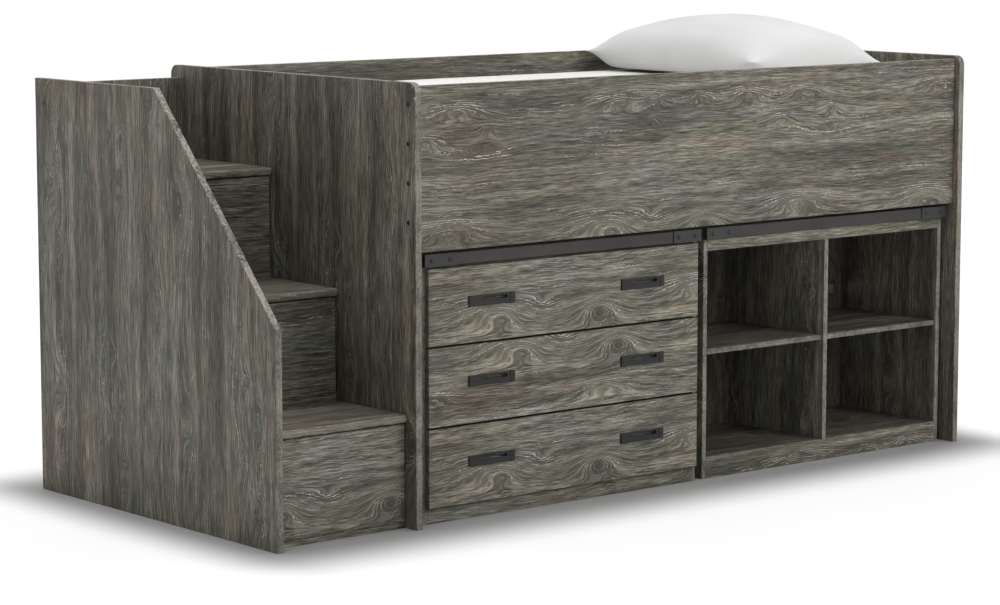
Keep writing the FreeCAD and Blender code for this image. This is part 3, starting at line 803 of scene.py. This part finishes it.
def domed_bolt(radius, height, shank, grip):
    """Profile of a round-headed bolt from its tip to the top of its dome; 0 is the face it sits on."""
    rim = 0.18  # share of the height below the dome
    steps = 7
    rows = [(shank * 0.8, -grip), (shank, -grip + shank * 0.3), (shank, 0.0)]
    rows += [(radius, 0.0), (radius, rim * height)]
    for k in range(1, steps):
        angle = math.pi / 2 * k / steps
        rows.append((radius * math.cos(angle), height * (rim + 0.82 * math.sin(angle))))
    rows.append((radius * 0.05, height))
    return rows


GUARD_BOLTS = 4  # at each end of a guard
GUARD_BOLT_RADIUS = 0.0060
GUARD_BOLT_HEAD = 0.0012  # height of the low head on the panel's face
GUARD_BOLT_GRIP = 0.05  # length of the shank in the boards
GUARD_BOLT_INSET = 0.0445  # first bolt below the guard's top
GUARD_BOLT_PITCH = 0.0985
BAR_BOLT_RADIUS = 0.0055
BAR_BOLT_HEAD = 0.003
BAR_BOLT_INSET = 0.022  # outer bolt from the end of its plate
BAR_BOLT_PITCH = 0.060


def guard_bolt_pieces(material):
    """Socket bolts through both end panels into the ends of the two guards."""
    bm = bmesh.new()
    faces = ((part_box("bed_end_left")[0].x, -1), (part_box("bed_end_right")[1].x, 1))
    rows = socket_bolt(GUARD_BOLT_RADIUS, GUARD_BOLT_HEAD, shank=0.003, grip=GUARD_BOLT_GRIP, socket=0.0026)
    for guard in ("guard_front", "guard_rear"):
        low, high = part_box(guard)
        for face, outward in faces:
            for row in range(GUARD_BOLTS):
                z = high.z - GUARD_BOLT_INSET - row * GUARD_BOLT_PITCH
                place = (face + outward * GUARD_BOLT_HEAD, middle(low, high).y, z)
                turned_head(bm, place, (outward, 0, 0), rows, SOCKET_ROWS)
    piece = object_from(bm, "guard_bolts", material)
    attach(piece, "root")


def bar_bolt_pieces(material):
    """Two round-headed bolts in each of the plates at the metal bars' ends."""
    bm = bmesh.new()
    rows = domed_bolt(BAR_BOLT_RADIUS, BAR_BOLT_HEAD, shank=0.0025, grip=0.010)
    for number, (low, high) in enumerate(solids_of("bar_end_plates")):
        at_left = number % 2 == 0  # the plates come in order along the bars
        outer = low.x + BAR_BOLT_INSET if at_left else high.x - BAR_BOLT_INSET
        inner = outer + BAR_BOLT_PITCH if at_left else outer - BAR_BOLT_PITCH
        for x in (outer, inner):
            turned_head(bm, (x, low.y, middle(low, high).z), (0, -1, 0), rows)
    piece = object_from(bm, "bar_bolts", material, smooth=True)
    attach(piece, "root")


PULL_SCREW_RADIUS = 0.0032
PULL_SCREW_PROUD = 0.0006  # face of the head before the pad
PULL_PAD_MIDDLE = 0.29  # middle of a pad from the pull's end, of its height


def pull_screw_pieces(material):
    """Two low screw heads on each pull, one on the pad at either end."""
    rows = socket_bolt(PULL_SCREW_RADIUS, head=0.0016, shank=0.0015, grip=0.003, socket=0.0014)
    for label in CHEST_DRAWERS:
        bm = bmesh.new()
        for low, high in solids_of("chest_drawer_pulls_" + label):
            pad = (high.z - low.z) * PULL_PAD_MIDDLE
            for x in (low.x + pad, high.x - pad):
                place = (x, low.y - PULL_SCREW_PROUD, middle(low, high).z)
                turned_head(bm, place, (0, -1, 0), rows, SOCKET_ROWS)
        piece = object_from(bm, "pull_screws_" + label, material)
        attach(piece, "chest_drawer_" + label)


PANEL_SCREW_RADIUS = 0.0042
PANEL_SCREW_PROUD = 0.0004
STAIR_SCREW = (0.498, 1.040)  # y and z on the outer stair side
BED_SCREW = (-0.353, 0.928)  # y and z on the left end panel


def panel_screw_pieces(material):
    """The small screw heads seen on the outer stair side and on the bed's left end panel."""
    bm = bmesh.new()
    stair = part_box("stair_side_outer")[0]
    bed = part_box("bed_end_left")[0]
    rows = socket_bolt(PANEL_SCREW_RADIUS, head=0.0012, shank=0.0015, grip=0.006, socket=0.0019)
    for x, (y, z) in ((stair.x, STAIR_SCREW), (bed.x, BED_SCREW)):
        turned_head(bm, (x - PANEL_SCREW_PROUD, y, z), (-1, 0, 0), rows, SOCKET_ROWS)
    piece = object_from(bm, "panel_screws", material)
    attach(piece, "root")


# ---- soft pieces ----


def keep_shape(piece):
    """Puts the mesh that the modifiers make in the place of the piece's own."""
    ready = piece.evaluated_get(bpy.context.evaluated_depsgraph_get())
    mesh = bpy.data.meshes.new_from_object(ready)
    piece.modifiers.clear()
    piece.data = mesh


def simulate(piece, frames, pressure, stiffness, bending, pins=""):
    """Blows a closed cloth form up, with no gravity, and keeps the mesh that it reaches."""
    settings = piece.modifiers.new("cloth", "CLOTH").settings
    settings.quality = 6
    settings.mass = 0.3
    settings.air_damping = 2.0
    settings.tension_stiffness = stiffness
    settings.compression_stiffness = stiffness
    settings.shear_stiffness = stiffness / 2
    settings.bending_stiffness = bending
    settings.use_pressure = True
    settings.uniform_pressure_force = pressure
    settings.effector_weights.gravity = 0.0
    if pins:
        settings.vertex_group_mass = pins
    scene = bpy.context.scene
    for step in range(1, frames + 1):
        scene.frame_set(step)
    keep_shape(piece)
    scene.frame_set(1)


def vertices_of(mesh):
    found = np.zeros(len(mesh.vertices) * 3)
    mesh.vertices.foreach_get("co", found)
    return found.reshape(-1, 3)


def set_vertices(mesh, places):
    mesh.vertices.foreach_set("co", places.ravel())
    mesh.update()


def refine(piece, levels):
    """Smooths the mesh with a subdivision surface and keeps the result."""
    surface = piece.modifiers.new("surface", "SUBSURF")
    surface.levels = levels
    surface.render_levels = levels
    keep_shape(piece)
    for polygon in piece.data.polygons:
        polygon.use_smooth = True


PILLOW_WHITE = (0.585, 0.585, 0.585)
PILLOW_CELLS = (34, 50)
PILLOW_CUT = (0.60, 0.86)  # each panel's flat size
PILLOW_SEAM_RISE = 0.062  # the seam above the mattress at the rear
PILLOW_DROOP = (0.010, 0.026)  # how much lower it is at the front, left and right corner
PILLOW_SKEW = 0.033  # the front left corner lies this much farther back
PILLOW_WAIST = 0.055  # how far each side pulls in between its corners, of its reach
PILLOW_FULLNESS = 1.8  # above 0 makes the top fuller beside the seam
PILLOW_SETTLED = 7.0  # above 1 makes the flat underside wider
PILLOW_EARS = 0.007  # its thin corners reach this far past the padding
PILLOW_CORNER = 0.05  # the seam stays crisp this near to a corner
PILLOW_START = 0.006  # the panels' distance from the seam's plane at the start
PILLOW_INSIDE = 0.004  # what lies farther than this from that plane isn't seam
PILLOW_EASING = (60, 4)  # rounds of smoothing, inside the seam and on it


def sewn_panels(name, cut, cells, material):
    """Two flat panels that share their edge, a little apart in their middle."""
    bm = bmesh.new()
    rim, layers = {}, []
    for side in (1, -1):
        grid = {}
        for i in range(cells[0] + 1):
            for j in range(cells[1] + 1):
                edge = i in (0, cells[0]) or j in (0, cells[1])
                if edge and (i, j) in rim:
                    grid[i, j] = rim[i, j]
                    continue
                x = cut[0] * (i / cells[0] - 0.5)
                y = cut[1] * (j / cells[1] - 0.5)
                z = 0.0 if edge else side * PILLOW_START
                grid[i, j] = bm.verts.new((x, y, z))
                if edge:
                    rim[i, j] = grid[i, j]
        layers.append(grid)
    for side, grid in zip((1, -1), layers):
        for i in range(cells[0]):
            for j in range(cells[1]):
                corners = [grid[i, j], grid[i + 1, j], grid[i + 1, j + 1], grid[i, j + 1]]
                bm.faces.new(corners if side == 1 else corners[::-1])
    return object_from(bm, name, material, smooth=True)


def widen_waist(mesh):
    """Eases each side of the seam out until it pulls in by PILLOW_WAIST of its reach in its middle."""
    spots = vertices_of(mesh)
    rows, columns = PILLOW_CELLS[0] + 1, PILLOW_CELLS[1] + 1
    top = np.arange(rows * columns).reshape(rows, columns)
    for axis, seams in ((0, (top[0], top[-1])), (1, (top[:, 0], top[:, -1]))):
        other = 1 - axis
        wide, long = np.abs(spots[:, axis]).max(), np.abs(spots[:, other]).max()
        wanted = wide * (1 - PILLOW_WAIST * (1 - (spots[:, other] / long) ** 2))
        factor = np.ones(len(spots))
        for seam in seams:
            side = np.sign(spots[seam, axis].mean())
            order = np.argsort(spots[seam, other])
            along, out = spots[seam, other][order], np.abs(spots[seam, axis])[order]
            reach = np.interp(spots[:, other], along, out)
            factor = np.where(spots[:, axis] * side > 0, wanted / reach, factor)
        spots[:, axis] *= factor
    set_vertices(mesh, spots)


def fit_pillow(mesh, low, high):
    """Sets the blown-up form down on the mattress: its front end droops and its underside lies flat."""
    spots = vertices_of(mesh)
    least, most = spots.min(0), spots.max(0)
    across, along, _ = ((spots - least) / (most - least)).T
    front = 1 - along
    rest = low.z + MATTRESS_SWELL
    droop = PILLOW_DROOP[0] + across * (PILLOW_DROOP[1] - PILLOW_DROOP[0])
    seam = low.z + PILLOW_SEAM_RISE - front * droop
    lift = np.clip(spots[:, 2] / most[2], 0, None)
    full = lift * (1 + PILLOW_FULLNESS * (1 - lift) ** 3)
    sunk = PILLOW_SETTLED * np.clip(spots[:, 2] / least[2], 0, None)
    flat = sunk / (1 + sunk ** 4) ** 0.25
    fitted = np.empty_like(spots)
    fitted[:, 0] = low.x - PILLOW_EARS + across * (high.x - low.x + 2 * PILLOW_EARS)
    fitted[:, 1] = low.y + along * (high.y - low.y + PILLOW_EARS) + front * (1 - across) * PILLOW_SKEW
    fitted[:, 2] = seam + full * (high.z - seam) - flat * (seam - rest)
    set_vertices(mesh, fitted)


def make_pillow(material):
    low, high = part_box("pillow")
    piece = sewn_panels("pillow_soft", PILLOW_CUT, PILLOW_CELLS, material)
    simulate(piece, frames=40, pressure=5.0, stiffness=12.0, bending=4.0)
    widen_waist(piece.data)
    settle(piece.data)
    fit_pillow(piece.data, low, high)
    refine(piece, 1)
    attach(piece, "root")
    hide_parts("pillow")


def settle(mesh):
    """Eases out the creases inside the seam, then softens the seam between its corners."""
    bm = bmesh.new()
    bm.from_mesh(mesh)
    half = Vector((max(v.co.x for v in bm.verts), max(v.co.y for v in bm.verts), 0.0))
    inside = [v for v in bm.verts if abs(v.co.z) > PILLOW_INSIDE]
    sides = [v for v in bm.verts if max(half.x - abs(v.co.x), half.y - abs(v.co.y)) > PILLOW_CORNER]
    axes = {"use_axis_x": True, "use_axis_y": True, "use_axis_z": True}
    for free, rounds in zip((inside, sides), PILLOW_EASING):
        for _ in range(rounds):
            bmesh.ops.smooth_vert(bm, verts=free, factor=0.5, **axes)
    bm.to_mesh(mesh)
    bm.free()


MATTRESS_WHITE = (0.73, 0.725, 0.695)
MATTRESS_CELL = 0.030
MATTRESS_SWELL = 0.008  # its panels swell no more than this
SEAM_PLACE = 0.32  # a seam across the cover's top
SEAM_WIDTH = 0.007
SEAM_DEPTH = 0.005
SEAM_REACH = 0.12  # the mesh is drawn together within this of the seam
SEAM_PULL = 0.8  # how strongly
WAVE_HEIGHT = 0.0012  # soft waves of the laid cover
TOP_DEPTH = 0.002  # what lies within this of the top takes part in them
MATTRESS_CORNER = 0.050
MATTRESS_RIM = 0.012
TAPE_RADIUS = 0.0042
MATTRESS_INSET = 0.003  # the sides start inside the CAD block, since they swell


def box_grid(bm, low, high, cell):
    """The six faces of a box as one welded net of cells."""
    size = high - low
    counts = [max(2, round(size[k] / cell)) for k in range(3)]
    spots = {}

    def vertex(i, j, k):
        if (i, j, k) not in spots:
            share = Vector((i / counts[0], j / counts[1], k / counts[2]))
            spots[i, j, k] = bm.verts.new([low[a] + size[a] * share[a] for a in range(3)])
        return spots[i, j, k]

    for fixed, first, second in ((Z, X, Y), (Y, Z, X), (X, Y, Z)):
        for end in (0, counts[fixed]):
            for i in range(counts[first]):
                for j in range(counts[second]):
                    loop = []
                    for di, dj in ((0, 0), (1, 0), (1, 1), (0, 1)):
                        place = [0, 0, 0]
                        place[fixed], place[first], place[second] = end, i + di, j + dj
                        loop.append(vertex(*place))
                    bm.faces.new(loop if end else loop[::-1])


def rounded(spots, low, high, radius, axes):
    """Rounds a box's edges: each point moves to that radius from the box that lies inside."""
    inner = spots.copy()
    for a in axes:
        inner[:, a] = np.clip(spots[:, a], low[a] + radius, high[a] - radius)
    away = spots - inner
    length = np.linalg.norm(away, axis=1, keepdims=True)
    outside = length[:, 0] > 1e-9
    spots[outside] = inner[outside] + radius * away[outside] / length[outside]
    return spots


def rim_outline(low, high, corner, z, count=14):
    """A closed rounded rectangle at height z."""
    spots = []
    for k, (sx, sy) in enumerate(((1, 1), (-1, 1), (-1, -1), (1, -1))):
        centre_x = high.x - corner if sx > 0 else low.x + corner
        centre_y = high.y - corner if sy > 0 else low.y + corner
        for step in range(count + 1):
            angle = math.pi / 2 * (k + step / count)
            spots.append((centre_x + corner * math.cos(angle), centre_y + corner * math.sin(angle), z))
    return spots


def tape_piece(name, low, high, z, material):
    """The bound edge sewn round the mattress."""
    curve = bpy.data.curves.new(name, "CURVE")
    curve.dimensions = "3D"
    curve.bevel_depth = TAPE_RADIUS
    curve.bevel_resolution = 4
    spline = curve.splines.new("POLY")
    outline = rim_outline(low, high, MATTRESS_CORNER, z)
    spline.points.add(len(outline) - 1)
    for point, spot in zip(spline.points, outline):
        point.co = (*spot, 1.0)
    spline.use_cyclic_u = True
    curve.materials.append(material)
    piece = put_object(name, curve)
    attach(piece, "root")


def make_mattress(material):
    low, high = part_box("mattress")
    inset = Vector((MATTRESS_INSET, MATTRESS_INSET, 0.0))
    inner_low, inner_high = low + inset, high - inset
    bm = bmesh.new()
    box_grid(bm, inner_low, inner_high, MATTRESS_CELL)
    piece = object_from(bm, "mattress_soft", material, smooth=True)
    spots = vertices_of(piece.data)
    spots[:, X] = drawn_together(spots[:, X])
    spots = rounded(spots, inner_low, inner_high, MATTRESS_CORNER, (X, Y))
    spots = rounded(spots, inner_low, inner_high, MATTRESS_RIM, (X, Y, Z))
    set_vertices(piece.data, spots)
    blow_up_mattress(piece, inner_low, inner_high)
    unevenness(piece.data, inner_high)
    refine(piece, 1)
    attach(piece, "root")
    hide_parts("mattress")
    rim = Vector((TAPE_RADIUS, TAPE_RADIUS, 0.0))
    for label, z in (("top", high.z - MATTRESS_RIM), ("bottom", low.z + MATTRESS_RIM)):
        tape_piece("mattress_tape_" + label, low + rim, high - rim, z, material)


def drawn_together(x):
    """Moves the mesh's columns near the seam closer to it, so that it comes out crisp."""
    away = x - SEAM_PLACE
    near = np.abs(away) < SEAM_REACH
    return np.where(near, SEAM_PLACE + away * (np.abs(away) / SEAM_REACH) ** SEAM_PULL, x)


def blow_up_mattress(piece, low, high):
    """Swells the six panels between the bound edges, which stay where they are."""
    before = vertices_of(piece.data)
    reach = np.minimum(before - np.array(low), np.array(high) - before)
    beside = np.minimum(reach[:, 0], reach[:, 1])
    bound = (reach[:, 2] < MATTRESS_RIM) & (beside < MATTRESS_RIM)
    group = piece.vertex_groups.new(name="bound_edge")
    group.add([int(k) for k in np.nonzero(bound)[0]], 1.0, "REPLACE")
    simulate(piece, frames=20, pressure=4.0, stiffness=15.0, bending=0.5, pins="bound_edge")
    moved = vertices_of(piece.data) - before
    length = np.linalg.norm(moved, axis=1, keepdims=True)
    held = MATTRESS_SWELL * np.tanh(length / MATTRESS_SWELL)
    set_vertices(piece.data, before + moved * held / np.maximum(length, 1e-9))


def unevenness(mesh, high):
    """The soft waves of the laid cover and the one seam across it."""
    spots = vertices_of(mesh)
    for k in np.nonzero(spots[:, 2] > high.z - TOP_DEPTH)[0]:
        x, y, _ = spots[k]
        wave = noise.noise(Vector((x * 2.2, y * 3.1, 0.3)))
        wave += 0.5 * noise.noise(Vector((x * 6.0, y * 8.0, 4.0)))
        fold = math.exp(-(((x - SEAM_PLACE) / SEAM_WIDTH) ** 2))
        spots[k, 2] += WAVE_HEIGHT * wave - SEAM_DEPTH * fold
    set_vertices(mesh, spots)


# ---- build ----

make_camera()
make_studio(make_floor(floor_paint()))
oak = oak_decor()
finish_boards(oak)
finish_the_rest(oak)
black_steel = pewter("black_steel", BOLT_STEEL)
guard_bolt_pieces(black_steel)
bar_bolt_pieces(black_steel)
pull_screw_pieces(black_steel)
panel_screw_pieces(black_steel)
make_mattress(cloth("mattress_knit", MATTRESS_WHITE, pitch=0.0016, relief=0.0003))
make_pillow(cloth("pillow_cotton", PILLOW_WHITE, pitch=0.0009, relief=0.00015))
